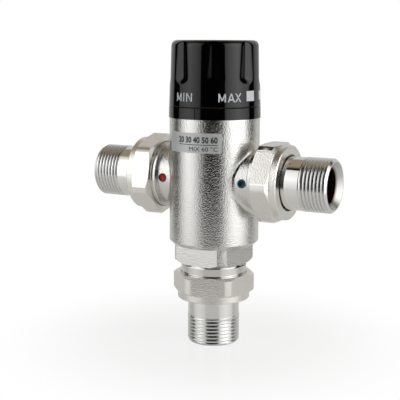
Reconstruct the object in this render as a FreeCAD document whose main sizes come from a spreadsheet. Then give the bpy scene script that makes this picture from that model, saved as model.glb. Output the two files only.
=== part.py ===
# A three-way mixing valve for hot and cold water, with a temperature knob on
# top, an inlet union on each side and the mixed outlet union underneath.
# Millimetres. Z runs up the valve's axis from the outlet's end face, X runs
# along the ports with cold at +X, and the index mark faces -Y.
import FreeCAD, Part
import math
import os
import re
import Sketcher
from FreeCAD import Placement, Rotation, Vector

SIZES = {
    # Main casting, with heights from the end of its outlet spigot
    "body_radius": 22.6,
    "body_foot": 21.9,
    "body_foot_bevel": 2.6,
    "wrench_radius": 20.0,
    "wrench_half_flats": 15.8,
    "wrench_flat_count": 4,
    "wrench_turn_angle": -7.0,
    "wrench_end": 10.1,
    "wrench_bevel": 1.6,
    "flat_overrun": 0.5,
    "relief_depth": 1.32,
    "relief_width": 0.8,
    "spigot_radius": 16.62,
    "spigot_length": 7.5,
    "spigot_bevel": 0.8,
    "port_height": 53.4,
    "boss_radius": 14.6,
    "boss_length": 2.7,
    "boss_fillet": 2.2,
    # Passages in the casting
    "head_bore": 16.8,
    "head_step": 1.5,
    "main_bore": 14.0,
    "outlet_bore": 11.0,
    "gallery_depth": 2.5,
    "gallery_step": 2.0,
    "hot_seat_drop": 9.9,
    "hot_gallery_length": 6.0,
    "cold_seat_rise": 9.6,
    "cold_gallery_length": 6.5,
    "passage_inner_wall": 1.6,
    "passage_outer_wall": 1.8,
    "passage_angle": 56.0,
    "passage_overlap": 1.6,
    "port_bore": 9.5,
    "port_throat": 7.6,
    "port_throat_length": 3.0,
    "port_end_wall": 3.0,
    "mark_inset": 0.7,
    "mark_radius": 2.2,
    "mark_recess": 0.6,
    "mark_thickness": 0.45,
    "small_gap": 0.1,
    # Union connections
    "tail_length": 29.5,
    "tail_radius": 13.24,
    "tail_thread_length": 14.3,
    "tail_neck_drop": 0.2,
    "tail_bore": 8.8,
    "tail_face_land": 0.54,
    "tail_mouth_depth": 3.0,
    "tail_end_bevel": 1.1,
    "tail_collar_lap": 1.0,
    "tail_collar_width": 3.0,
    "washer_thickness": 2.0,
    "washer_inset": 0.42,
    "washer_bore_gap": 0.5,
    "nut_wall": 2.03,
    "nut_corner_rise": 2.05,
    "nut_collar_drop": 0.25,
    "nut_collar_width": 3.5,
    "nut_lip": 3.25,
    "nut_hole_gap": 0.66,
    "nut_grip": 5.1,
    "nut_sides": 6,
    "nut_slope": 0.577,
    "nut_mouth_bevel": 0.4,
    "thread_gap": 0.1,
    "seat_gap": 0.05,
    "spring_gap": 0.01,
    # Inlet cartridges
    "cage_wall": 1.8,
    "cage_lip": 1.6,
    "cage_hub": 2.8,
    "cage_arm": 1.8,
    "cage_arms": 3,
    "cage_arm_depth": 2.0,
    "stem_radius": 1.2,
    "stem_overhang": 1.2,
    "poppet_clearance": 0.8,
    "poppet_lap": 1.2,
    "poppet_rim": 1.0,
    "poppet_thickness": 2.2,
    "check_wire": 0.4,
    "check_coil": 3.6,
    "check_turns": 4,
    "strainer_flange": 0.8,
    "strainer_gap": 0.6,
    "strainer_wall": 0.7,
    "strainer_taper": 1.0,
    "strainer_length": 11.2,
    "strainer_slot": 2.4,
    "strainer_slot_length": 7.0,
    "strainer_slots": 8,
    # Head of the valve
    "bonnet_flange_inset": 3.6,
    "bonnet_flange_width": 2.6,
    "bonnet_neck": 8.5,
    "bonnet_neck_height": 15.6,
    "carrier_bore": 9.7,
    "ceiling_depth": 3.4,
    "key_width": 3.0,
    "key_depth": 1.3,
    "key_gap": 0.2,
    "ring_groove_width": 1.8,
    "ring_groove_offset": 2.0,
    "ring_wire": 0.8,
    "index_proud": 0.35,
    "index_draft": 0.1,
    "index_height": 5.5,
    "index_mark_width": 1.2,
    "index_turn_angle": 2.4,
    "index_mark_depth": 0.5,
    # Spindle
    "spindle_radius": 4.95,
    "spindle_gap": 0.05,
    "shoulder_width": 2.05,
    "shoulder_thickness": 2.2,
    "drive_thread": 4.0,
    "drive_reach": 7.0,
    "spindle_head": 12.2,
    "spline_start": 3.0,
    "spline_count": 12,
    "spline_cut": 0.7,
    "clip_thickness": 1.1,
    "clip_width": 1.85,
    "clip_groove_depth": 0.75,
    "clip_opening_angle": 50.0,
    "lower_ring_depth": 13.0,
    "upper_ring_depth": 7.0,
    # Knob
    "knob_gap": 0.2,
    "knob_proud": 0.2,
    "knob_height": 32.2,
    "knob_draft": 1.05,
    "knob_rounding": 3.0,
    "knob_foot_rounding": 0.4,
    "skirt_wall": 2.4,
    "skirt_height": 10.4,
    "shell_wall": 4.35,
    "knob_ceiling": 3.8,
    "flute_radius": 8.0,
    "flute_depth": 0.65,
    "flute_rim": 2.4,
    "flute_foot": 6.8,
    "flute_count": 8,
    "flute_turn_angle": -18.5,
    "knob_hub": 8.4,
    "knob_hub_gap": 2.2,
    "knob_rib": 1.4,
    "knob_rib_height": 9.0,
    "knob_well": 5.6,
    "knob_web": 2.6,
    "cap_radius": 12.0,
    "cap_thickness": 1.8,
    "cap_skirt_wall": 1.0,
    "cap_skirt_depth": 2.2,
    "screw_radius": 2.0,
    "screw_head": 3.6,
    "screw_head_bevel": 0.8,
    "screw_head_height": 2.4,
    "screw_length": 11.0,
    "screw_slot": 0.9,
    "screw_recess_arms": 4,
    # Overload carrier
    "carrier_gap": 0.4,
    "carrier_wall": 1.5,
    "carrier_length": 15.8,
    "carrier_travel": 5.0,
    "carrier_hub_height": 5.0,
    "retainer_bore": 4.6,
    "retainer_thickness": 1.0,
    "pin_cap_thickness": 1.6,
    "pin_cap_gap": 0.2,
    "overload_wire": 0.7,
    "overload_inset": 1.6,
    "overload_turns": 4,
    # Regulating unit
    "shuttle_lift": 0.4,
    "shuttle_length": 13.6,
    "shuttle_gap": 0.06,
    "shuttle_wall": 2.9,
    "shuttle_hub_lap": 0.1,
    "shuttle_hub_rise": 4.6,
    "shuttle_hub_height": 3.0,
    "shuttle_arm": 3.0,
    "shuttle_arms": 4,
    "shuttle_ring_rise": 8.6,
    "seat_ring_height": 13.0,
    "seat_ring_wall": 2.6,
    "seat_ring_ledge": 7.0,
    "seat_ledge_height": 2.0,
    "element_radius": 5.0,
    "element_cup_length": 23.0,
    "element_rounding": 1.5,
    "element_flange": 6.9,
    "element_flange_height": 2.0,
    "element_guide": 4.0,
    "element_guide_length": 5.0,
    "element_stroke": 1.9,
    "element_pin": 1.5,
    "element_pin_rise": 0.5,
    "return_wire": 0.8,
    "return_gap": 0.2,
    "return_turns": 5,
    # Label
    "label_drop": 6.3,
    "label_height": 9.7,
    "label_raise": 0.22,
    "label_angle": 76.7,
    "label_turn_angle": -92.7,
    "label_corner": 1.0,
    # Turned position of each union nut
    "outlet_nut_turn_angle": -13.1,
    "cold_nut_turn_angle": -2.0,
    "hot_nut_turn_angle": 18.3,
}

document = FreeCAD.newDocument("mixing_valve")
sheet = document.addObject("Spreadsheet::Sheet", "Sizes")
for row, (alias, value) in enumerate(SIZES.items(), start=1):
    sheet.set(f"A{row}", alias)
    sheet.set(f"B{row}", str(value))
    sheet.setAlias(f"B{row}", alias)
document.recompute()


def bound(text):
    """Turn a sum of size names into an expression on the sheet."""
    return re.sub(r"[a-z_]{2,}", lambda word: "Sizes." + word.group(), text)


def size(alias):
    return float(sheet.get(alias))


# Sketches and features, drawn at a rough size that their constraints then replace
ROUGH = 20.0


def new_body(name):
    body = document.addObject("PartDesign::Body", name)
    body.Label = name
    return body


def new_sketch(body, name, role="XZ_Plane", shift=None):
    """A sketch on one of the body's own planes, moved within that plane's frame."""
    sketch = body.newObject("Sketcher::SketchObject", name)
    plane = next(item for item in body.Origin.OriginFeatures if item.Role == role)
    sketch.AttachmentSupport = (plane, [""])
    sketch.MapMode = "FlatFace"
    for axis, text in (shift or {}).items():
        sketch.setExpression(f"AttachmentOffset.Base.{axis}", bound(text))
    return sketch


def hold(sketch, line, across, up):
    """Fix the start of a line at the given size expressions."""
    for direction, text, axis in (("X", across, -2), ("Y", up, -1)):
        if text == "0":
            sketch.addConstraint(Sketcher.Constraint("PointOnObject", line, 1, axis))
            continue
        kind = "Distance" + direction
        index = sketch.addConstraint(Sketcher.Constraint(kind, -1, 1, line, 1, ROUGH / 2))
        sketch.setExpression(f"Constraints[{index}]", bound(text))


def outline(sketch, points):
    """A closed outline through points given as pairs of size expressions."""
    count = len(points)
    first = sketch.GeometryCount
    turns = [2 * math.pi * k / count for k in range(count)]
    start = [Vector(ROUGH * math.cos(turn), ROUGH * math.sin(turn), 0) for turn in turns]
    for k in range(count):
        sketch.addGeometry(Part.LineSegment(start[k], start[(k + 1) % count]))
    for k in range(count):
        following = first + (k + 1) % count
        sketch.addConstraint(Sketcher.Constraint("Coincident", first + k, 2, following, 1))
    for k, (across, up) in enumerate(points):
        hold(sketch, first + k, across, up)
    return sketch


def circle(sketch, across, up, radius):
    line = sketch.addGeometry(Part.Circle(Vector(1, 1, 0), Vector(0, 0, 1), 1))
    for direction, text, axis in (("X", across, -2), ("Y", up, -1)):
        if text == "0":
            sketch.addConstraint(Sketcher.Constraint("PointOnObject", line, 3, axis))
            continue
        kind = "Distance" + direction
        index = sketch.addConstraint(Sketcher.Constraint(kind, -1, 1, line, 3, 1.0))
        sketch.setExpression(f"Constraints[{index}]", bound(text))
    index = sketch.addConstraint(Sketcher.Constraint("Radius", line, 1.0))
    sketch.setExpression(f"Constraints[{index}]", bound(radius))
    return sketch


def rectangle(sketch, left, low, right, high):
    return outline(sketch, [(left, low), (right, low), (right, high), (left, high)])


def spin(body, name, sketch, kind="Revolution", axis="V_Axis", angle=None):
    """Turn a sketch about one of its axes, or part of a turn centred on its plane."""
    feature = body.newObject(f"PartDesign::{kind}", name)
    feature.Profile = sketch
    feature.ReferenceAxis = (sketch, [axis])
    feature.Angle = 360
    if angle:
        feature.Midplane = True
        feature.setExpression("Angle", bound(angle))
    return feature


def turned(body, name, points, kind="Revolution", axis="V_Axis", angle=None, shift=None):
    sketch = outline(new_sketch(body, name + "_profile", shift=shift), points)
    return spin(body, name, sketch, kind, axis, angle)


def extrude(body, name, sketch, length, kind="Pad", backwards=False, both=False):
    feature = body.newObject(f"PartDesign::{kind}", name)
    feature.Profile = sketch
    feature.Reversed = backwards
    feature.SideType = "Symmetric" if both else "One side"
    feature.setExpression("Length", bound(length))
    return feature


def around(body, name, originals, count, role="Z_Axis"):
    """Repeat features evenly about one of the body's own axes."""
    feature = body.newObject("PartDesign::PolarPattern", name)
    feature.Originals = originals
    axis = next(item for item in body.Origin.OriginFeatures if item.Role == role)
    feature.Axis = (axis, [""])
    feature.Angle = 360
    feature.setExpression("Occurrences", bound(count))
    body.Tip = feature
    return feature


def mirrored(body, name, originals, role="YZ_Plane"):
    feature = body.newObject("PartDesign::Mirrored", name)
    feature.Originals = originals
    plane = next(item for item in body.Origin.OriginFeatures if item.Role == role)
    feature.MirrorPlane = (plane, [""])
    body.Tip = feature
    return feature


def rounded(body, name, base, edges, radius, kind="Fillet"):
    feature = body.newObject(f"PartDesign::{kind}", name)
    feature.Base = (base, edges)
    feature.setExpression("Radius" if kind == "Fillet" else "Size", bound(radius))
    return feature


def end_ring(shape, upper=True):
    """Name of the widest circle at the upper or the lower end of a turned shape."""
    sign = 1 if upper else -1
    rings = []
    for number, edge in enumerate(shape.Edges, start=1):
        if isinstance(edge.Curve, Part.Circle):
            rings.append((round(sign * edge.Curve.Center.z, 3), edge.Curve.Radius, f"Edge{number}"))
    return max(rings)[2]


def stand(body, turn=0.0):
    """Stand a body on the outlet union, turned about the valve's axis."""
    body.Placement = Placement(Vector(), Rotation(Vector(0, 0, 1), turn))
    body.setExpression("Placement.Base.z", bound(LIFT))


def lay(body, side, quarter=90, turn=0.0):
    """Lay a body made along Z onto a port's axis, pointing outwards or, at -90, inwards."""
    tilt = Rotation(Vector(0, 1, 0), quarter * SIDES[side])
    body.Placement = Placement(Vector(), tilt * Rotation(Vector(0, 0, 1), turn))
    body.setExpression("Placement.Base.z", bound(f"{LIFT} + port_height"))


def seal(name, ring_radius, wire_radius, height):
    """A round sealing ring about Z."""
    body = new_body(name)
    sketch = new_sketch(body, name + "_section", shift={"y": height})
    circle(sketch, ring_radius, "0", wire_radius)
    spin(body, name + "_ring", sketch)
    stand(body)


def coil(name, coil_radius, wire_radius, low, high, turns):
    """A compression spring about Z whose wire just fits between two heights."""
    body = new_body(name)
    sketch = new_sketch(body, name + "_wire", shift={"y": f"{low} + {wire_radius} + spring_gap"})
    circle(sketch, coil_radius, "0", wire_radius)
    helix = body.newObject("PartDesign::AdditiveHelix", name + "_helix")
    helix.Profile = sketch
    helix.ReferenceAxis = (sketch, ["V_Axis"])
    helix.Mode = "height-turns-angle"
    helix.setExpression("Height", bound(f"({high}) - ({low}) - 2 * ({wire_radius} + spring_gap)"))
    helix.setExpression("Turns", bound(turns))
    return body


# Heights from the end of the outlet spigot
SEAT_TOP = "(port_height - hot_seat_drop)"
MAIN_FLOOR = f"({SEAT_TOP} - seat_ring_height)"
HOT_LOW = f"({SEAT_TOP} - gallery_step)"
HOT_HIGH = f"({HOT_LOW} + hot_gallery_length)"
COLD_HIGH = "(port_height + cold_seat_rise)"
COLD_LOW = f"({COLD_HIGH} - cold_gallery_length)"
HEAD_FLOOR = f"({COLD_HIGH} + head_step)"
SHUTTLE_LOW = f"({SEAT_TOP} + shuttle_lift)"
SHUTTLE_HUB_LOW = f"({SHUTTLE_LOW} + shuttle_hub_rise)"
SHUTTLE_RING = f"({SHUTTLE_LOW} + shuttle_ring_rise)"
ELEMENT_PIN_LOW = f"({SHUTTLE_HUB_LOW} + shuttle_hub_height + element_pin_rise)"
GUIDE_TOP = f"({SHUTTLE_HUB_LOW} + shuttle_hub_height + element_flange_height + element_guide_length)"
CARRIER_LOW = f"({GUIDE_TOP} + element_stroke + 3 * small_gap - retainer_thickness)"
CARRIER_TOP = f"({CARRIER_LOW} + carrier_length)"
CARRIER_HUB = f"({CARRIER_TOP} - carrier_hub_height)"
CEILING = f"({CARRIER_TOP} + carrier_travel)"
BODY_TOP = f"({CEILING} + ceiling_depth)"
BONNET_TOP = f"({BODY_TOP} + bonnet_neck_height)"
SPINDLE_TOP = f"({BONNET_TOP} + spindle_head)"
KNOB_FOOT = f"({BODY_TOP} + index_height + knob_gap)"
KNOB_TOP = f"({KNOB_FOOT} + knob_height)"
KNOB_HUB_LOW = f"({BONNET_TOP} + knob_hub_gap)"
WELL_FLOOR = f"({SPINDLE_TOP} + small_gap + knob_web)"

# Distances from the valve's axis
GALLERY = "(main_bore + gallery_depth)"
PASSAGE_INNER = "(main_bore + passage_inner_wall)"
PASSAGE_OUTER = "(body_radius - passage_outer_wall)"
PORT_END = "(main_bore + port_end_wall)"
PORT_SHOULDER = f"({PORT_END} + port_throat_length)"
PORT_FLANGE = "(body_radius + boss_length)"
SPIGOT_END = f"({PORT_FLANGE} + spigot_length)"
CAGE_END = f"({SPIGOT_END} - strainer_flange)"
MARK_PLACE = "(body_radius - mark_inset)"
PORT_REACH = f"({SPIGOT_END} + washer_thickness + tail_length)"

# Distances from a tail's outer end, the same at all three ports
LIFT = "(tail_length + washer_thickness)"
COLLAR_FACE = "(tail_length - tail_collar_width)"
NUT_FACE = f"({COLLAR_FACE} - seat_gap - nut_lip)"
NUT_TOP = f"({LIFT} + nut_grip)"

# Radii that follow from others
NUT_HOLE = "(tail_radius + nut_hole_gap)"
NUT_HALF_FLATS = "(spigot_radius + nut_wall)"
NUT_CORNER = f"({NUT_HALF_FLATS} + nut_corner_rise)"
NUT_COLLAR = f"({NUT_HALF_FLATS} - nut_collar_drop)"
CAGE_OUTER = "(port_bore - small_gap)"
CAGE_INNER = f"({CAGE_OUTER} - cage_wall)"
POPPET = f"({CAGE_INNER} - poppet_clearance)"
BONNET_FLANGE = "(body_radius - bonnet_flange_inset)"
KNOB_FOOT_RADIUS = "(body_radius + knob_proud)"
KNOB_TOP_RADIUS = f"({KNOB_FOOT_RADIUS} - knob_draft)"
CLIP_GROOVE = "(spindle_radius - clip_groove_depth)"
CARRIER_RADIUS = "(carrier_bore - carrier_gap)"
CARRIER_INNER = f"({CARRIER_RADIUS} - carrier_wall)"
RETURN_COIL = "(seat_ring_ledge + return_gap + return_wire)"

SIDES = {"cold": 1, "hot": -1}


# Main casting

def make_valve_body():
    body = new_body("valve_body")
    foot = "(body_foot - body_foot_bevel)"
    relief = "(spigot_radius - relief_depth)"
    turned(body, "casting", [
        ("0", "0"),
        ("spigot_radius - spigot_bevel", "0"),
        ("spigot_radius", "spigot_bevel"),
        ("spigot_radius", "wrench_end - relief_width"),
        (relief, "wrench_end - relief_width"),
        (relief, "wrench_end"),
        ("wrench_radius - 1.5 * wrench_bevel", "wrench_end"),
        ("wrench_radius", "wrench_end + wrench_bevel"),
        ("wrench_radius", foot),
        ("body_radius", "body_foot"),
        ("body_radius", BODY_TOP),
        ("0", BODY_TOP),
    ])
    boss_sketch = new_sketch(body, "boss_profile", shift={"y": "port_height"})
    outline(boss_sketch, [
        ("0", "0"),
        (SPIGOT_END, "0"),
        (SPIGOT_END, "spigot_radius - spigot_bevel"),
        (f"{SPIGOT_END} - spigot_bevel", "spigot_radius"),
        (PORT_FLANGE, "spigot_radius"),
        (PORT_FLANGE, "boss_radius"),
        ("0", "boss_radius"),
    ])
    boss = spin(body, "boss", boss_sketch, axis="H_Axis")
    bosses = mirrored(body, "bosses", [boss])
    document.recompute()
    rounded(body, "boss_fillet", bosses, boss_seams(bosses.Shape), "boss_fillet")
    turned(body, "bores", [
        ("0", "-1"),
        ("outlet_bore", "-1"),
        ("outlet_bore", MAIN_FLOOR),
        ("main_bore", MAIN_FLOOR),
        ("main_bore", HOT_LOW),
        (GALLERY, HOT_LOW),
        (GALLERY, HOT_HIGH),
        ("main_bore", HOT_HIGH),
        ("main_bore", COLD_LOW),
        (GALLERY, COLD_LOW),
        (GALLERY, COLD_HIGH),
        ("main_bore", COLD_HIGH),
        ("main_bore", HEAD_FLOOR),
        ("head_bore", HEAD_FLOOR),
        ("head_bore", f"{BODY_TOP} + 1"),
        ("0", f"{BODY_TOP} + 1"),
    ], kind="Groove")
    cut_ports(body)
    flats = new_sketch(body, "wrench_flat_profile", role="XY_Plane", shift={"z": "wrench_end - 1"})
    flats.AttachmentOffset = Placement(Vector(), Rotation(Vector(0, 0, 1), size("wrench_turn_angle")))
    rectangle(flats, "wrench_half_flats", "-body_radius", "body_radius + 1", "body_radius")
    flat = extrude(body, "wrench_flat", flats, f"{foot} + flat_overrun - wrench_end + 1", kind="Pocket",
                   backwards=True)
    around(body, "wrench_flats", [flat], "wrench_flat_count")
    marks = new_sketch(body, "mark_recess_profile", shift={"z": "boss_radius - mark_recess"})
    for sign in ("", "-"):
        circle(marks, sign + MARK_PLACE, "port_height", "mark_radius + small_gap")
    extrude(body, "mark_recesses", marks, "mark_recess + 3", kind="Pocket", backwards=True)
    stand(body)


def cut_ports(body):
    """The two inlet bores, and the cored passages from them to their galleries."""
    port_sketch = new_sketch(body, "port_profile", shift={"y": "port_height"})
    outline(port_sketch, [
        (PORT_END, "0"),
        (f"{SPIGOT_END} + 1", "0"),
        (f"{SPIGOT_END} + 1", "port_bore"),
        (PORT_SHOULDER, "port_bore"),
        (PORT_SHOULDER, "port_throat"),
        (PORT_END, "port_throat"),
    ])
    port = spin(body, "port", port_sketch, kind="Groove", axis="H_Axis")
    mirrored(body, "ports", [port])
    turned(body, "hot_passage", [
        (f"-{PASSAGE_INNER}", HOT_LOW),
        (f"-{PASSAGE_OUTER}", HOT_LOW),
        (f"-{PASSAGE_OUTER}", "port_height + passage_overlap"),
        (f"-{PASSAGE_INNER}", "port_height + passage_overlap"),
    ], kind="Groove", angle="passage_angle")
    turned(body, "cold_passage", [
        (PASSAGE_INNER, "port_height - passage_overlap"),
        (PASSAGE_OUTER, "port_height - passage_overlap"),
        (PASSAGE_OUTER, COLD_HIGH),
        (PASSAGE_INNER, COLD_HIGH),
    ], kind="Groove", angle="passage_angle")


def boss_seams(shape):
    """The edges where the two port bosses leave the round casting."""
    names = []
    for number, edge in enumerate(shape.Edges, start=1):
        box = edge.BoundBox
        reach = max(abs(box.XMin), abs(box.XMax))
        height = box.ZMax - box.ZMin
        on_boss = abs(height - 2 * size("boss_radius")) < 0.5 or abs(height - size("boss_radius")) < 0.3
        centred = abs(box.Center.z - size("port_height")) < size("boss_radius") / 2 + 0.2
        if on_boss and centred and reach < size("body_radius") + 0.1 and box.XLength > 0.5:
            names.append(f"Edge{number}")
    return names


def make_marks():
    """The small coloured discs that tell the hot port from the cold one."""
    for side, sign in SIDES.items():
        body = new_body(f"{side}_mark")
        place = MARK_PLACE if sign > 0 else f"-{MARK_PLACE}"
        sketch = new_sketch(body, f"{side}_mark_disc", shift={"z": "boss_radius - mark_recess"})
        circle(sketch, place, "port_height", "mark_radius")
        extrude(body, f"{side}_mark_pad", sketch, "mark_thickness")
        stand(body)


def make_label():
    body = new_body("label_plate")
    inner = "(body_radius + small_gap / 5)"
    high = f"({BODY_TOP} - label_drop)"
    pad = turned(body, "label_sheet", [
        (inner, f"{high} - label_height"),
        (f"{inner} + label_raise", f"{high} - label_height"),
        (f"{inner} + label_raise", high),
        (inner, high),
    ], angle="label_angle")
    document.recompute()
    corners = []
    for number, edge in enumerate(pad.Shape.Edges, start=1):
        if isinstance(edge.Curve, Part.Line) and abs(edge.Length - size("label_raise")) < 0.01:
            corners.append(f"Edge{number}")
    rounded(body, "label_corners", pad, corners, "label_corner")
    stand(body, size("label_turn_angle"))


# Union connections, made along Z from the outer end of the tail inwards

def make_nut(name):
    """A union nut: a hexagon with turned corners, and a round collar at its tail end."""
    body = new_body(name)
    corner_rise = "nut_corner_rise * nut_slope"
    step = f"({NUT_FACE} + nut_collar_width)"
    inner_face = f"({COLLAR_FACE} - seat_gap)"
    bore = "(spigot_radius + thread_gap)"
    turned(body, name + "_blank", [
        (NUT_HOLE, NUT_FACE),
        (f"{NUT_COLLAR} - nut_mouth_bevel", NUT_FACE),
        (NUT_COLLAR, f"{NUT_FACE} + nut_mouth_bevel"),
        (NUT_COLLAR, step),
        (NUT_HALF_FLATS, step),
        (NUT_CORNER, f"{step} + {corner_rise}"),
        (NUT_CORNER, f"{NUT_TOP} - {corner_rise}"),
        (NUT_HALF_FLATS, NUT_TOP),
        (f"{bore} + nut_mouth_bevel", NUT_TOP),
        (bore, f"{NUT_TOP} - nut_mouth_bevel"),
        (bore, inner_face),
        (NUT_HOLE, inner_face),
    ])
    sketch = new_sketch(body, name + "_flat_profile", role="YZ_Plane", shift={"z": NUT_HALF_FLATS})
    rectangle(sketch, f"-{NUT_CORNER}", step, NUT_CORNER, f"{NUT_TOP} + 1")
    flat = extrude(body, name + "_flat", sketch, NUT_CORNER, kind="Pocket", backwards=True)
    around(body, name + "_flats", [flat], "nut_sides")
    return body


def make_tail(name):
    """A tailpiece: a collar held by the nut, a neck, and a male threaded end."""
    body = new_body(name)
    mouth = "(tail_radius - tail_end_bevel - tail_face_land)"
    collar = f"({NUT_HOLE} + tail_collar_lap)"
    turned(body, name + "_turning", [
        (mouth, "0"),
        ("tail_radius - tail_end_bevel", "0"),
        ("tail_radius", "tail_end_bevel"),
        ("tail_radius", "tail_thread_length"),
        ("tail_radius - tail_neck_drop", "tail_thread_length"),
        ("tail_radius - tail_neck_drop", COLLAR_FACE),
        (collar, COLLAR_FACE),
        (collar, "tail_length"),
        ("tail_bore", "tail_length"),
        ("tail_bore", "tail_mouth_depth"),
    ])
    return body


def make_washer(name):
    body = new_body(name)
    bore = "(port_bore + washer_bore_gap)"
    turned(body, name + "_disc", [
        (bore, "tail_length"),
        ("spigot_radius - washer_inset", "tail_length"),
        ("spigot_radius - washer_inset", LIFT),
        (bore, LIFT),
    ])
    return body


def make_unions():
    for port in ("outlet", "cold", "hot"):
        nut = make_nut(f"{port}_union_nut")
        turns = [(nut, size(f"{port}_nut_turn_angle"))]
        turns += [(make_tail(f"{port}_tailpiece"), 0.0), (make_washer(f"{port}_washer"), 0.0)]
        for body, turn in turns:
            if port == "outlet":
                body.Placement = Placement(Vector(), Rotation(Vector(0, 0, 1), turn))
            else:
                lay(body, port, -90, turn)
                reach = PORT_REACH if SIDES[port] > 0 else f"-{PORT_REACH}"
                body.setExpression("Placement.Base.x", bound(reach))


# Check valves and strainers in the inlets, made along Z from the valve's axis outwards

def make_check_cage(side):
    name = f"{side}_check_cage"
    body = new_body(name)
    turned(body, name + "_tube", [
        (CAGE_OUTER, PORT_SHOULDER),
        (CAGE_OUTER, CAGE_END),
        (f"{POPPET} - poppet_lap", CAGE_END),
        (f"{POPPET} - poppet_lap", f"{CAGE_END} - cage_lip"),
        (CAGE_INNER, f"{CAGE_END} - cage_lip"),
        (CAGE_INNER, PORT_SHOULDER),
    ])
    hub = new_sketch(body, name + "_hub_profile", role="XY_Plane", shift={"z": PORT_SHOULDER})
    circle(hub, "0", "0", "cage_hub")
    extrude(body, name + "_hub", hub, "cage_arm_depth")
    arm_sketch = new_sketch(body, name + "_arm_profile", role="XY_Plane", shift={"z": PORT_SHOULDER})
    rectangle(arm_sketch, "0", "-cage_arm / 2", f"{CAGE_INNER} + cage_wall / 2", "cage_arm / 2")
    arm = extrude(body, name + "_arm", arm_sketch, "cage_arm_depth")
    around(body, name + "_arms", [arm], "cage_arms")
    bore = new_sketch(body, name + "_bore_profile", role="XY_Plane", shift={"z": f"{PORT_SHOULDER} - 1"})
    circle(bore, "0", "0", "stem_radius + small_gap")
    extrude(body, name + "_bore", bore, "cage_arm_depth + 2", kind="Pocket", backwards=True)
    lay(body, side)


def make_check_poppet(side):
    name = f"{side}_check_poppet"
    body = new_body(name)
    face = f"({CAGE_END} - cage_lip - small_gap)"
    tip = f"({PORT_SHOULDER} - stem_overhang)"
    turned(body, name + "_turning", [
        ("0", tip),
        ("stem_radius", tip),
        ("stem_radius", f"{face} - poppet_thickness"),
        (POPPET, f"{face} - poppet_rim"),
        (POPPET, face),
        ("0", face),
    ])
    lay(body, side)


def make_check_spring(side):
    low = f"({PORT_SHOULDER} + cage_arm_depth)"
    high = f"({CAGE_END} - cage_lip - small_gap - poppet_thickness)"
    lay(coil(f"{side}_check_spring", "check_coil", "check_wire", low, high, "check_turns"), side)


def make_strainer(side):
    name = f"{side}_strainer"
    body = new_body(name)
    outer = "(tail_bore - strainer_gap)"
    inner = f"({outer} - strainer_wall)"
    tip = f"({SPIGOT_END} + strainer_length)"
    turned(body, name + "_basket", [
        (inner, CAGE_END),
        (CAGE_OUTER, CAGE_END),
        (CAGE_OUTER, SPIGOT_END),
        (outer, SPIGOT_END),
        (f"{outer} - strainer_taper", tip),
        ("0", tip),
        ("0", f"{tip} - strainer_wall"),
        (f"{inner} - strainer_taper", f"{tip} - strainer_wall"),
    ])
    sketch = new_sketch(body, name + "_slot_profile")
    low = f"({SPIGOT_END} + (strainer_length - strainer_slot_length) / 2)"
    rectangle(sketch, "-strainer_slot / 2", low, "strainer_slot / 2", f"{low} + strainer_slot_length")
    slot = extrude(body, name + "_slot", sketch, "2 * tail_bore", kind="Pocket", backwards=True)
    around(body, name + "_slots", [slot], "strainer_slots")
    lay(body, side)


# Head of the valve

def make_bonnet():
    body = new_body("bonnet")
    thread = "(head_bore - thread_gap)"
    nose = "(main_bore - 2 * small_gap)"
    seat = f"({HEAD_FLOOR} + small_gap)"
    flange_top = f"({BODY_TOP} + bonnet_flange_width)"
    groove = f"({thread} - 2 * ring_wire)"
    groove_low = f"({HEAD_FLOOR} + ring_groove_offset)"
    turned(body, "bonnet_turning", [
        ("carrier_bore", COLD_HIGH),
        (nose, COLD_HIGH),
        (nose, seat),
        (thread, seat),
        (thread, groove_low),
        (groove, groove_low),
        (groove, f"{groove_low} + ring_groove_width"),
        (thread, f"{groove_low} + ring_groove_width"),
        (thread, BODY_TOP),
        (BONNET_FLANGE, BODY_TOP),
        (BONNET_FLANGE, flange_top),
        ("bonnet_neck", flange_top),
        ("bonnet_neck", BONNET_TOP),
        ("spindle_radius + spindle_gap", BONNET_TOP),
        ("spindle_radius + spindle_gap", CEILING),
        ("carrier_bore", CEILING),
    ])
    keyway = new_sketch(body, "keyway_profile", role="XY_Plane", shift={"z": f"{COLD_HIGH} - 1"})
    half = "(key_width / 2 + key_gap)"
    reach = "(carrier_bore + key_depth)"
    rectangle(keyway, f"-{reach}", f"-{half}", reach, half)
    extrude(body, "keyway", keyway, f"{CEILING} - {COLD_HIGH} + 1", kind="Pocket", backwards=True)
    stand(body)


def make_index_ring():
    body = new_body("index_ring")
    high = f"({BODY_TOP} + index_height)"
    inner = f"({BONNET_FLANGE} + 3 * small_gap)"
    outer = "(body_radius + index_proud)"
    turned(body, "index_ring_turning", [
        (inner, BODY_TOP),
        (outer, BODY_TOP),
        (f"{outer} - index_draft", high),
        (inner, high),
    ])
    sketch = new_sketch(body, "index_mark_profile", shift={"z": f"{outer} - index_mark_depth"})
    half = "index_mark_width / 2"
    rectangle(sketch, f"-{half}", f"{BODY_TOP} - 1", half, f"{high} + 1")
    extrude(body, "index_mark", sketch, "index_mark_depth + 1", kind="Pocket", backwards=True)
    stand(body, size("index_turn_angle"))


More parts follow.
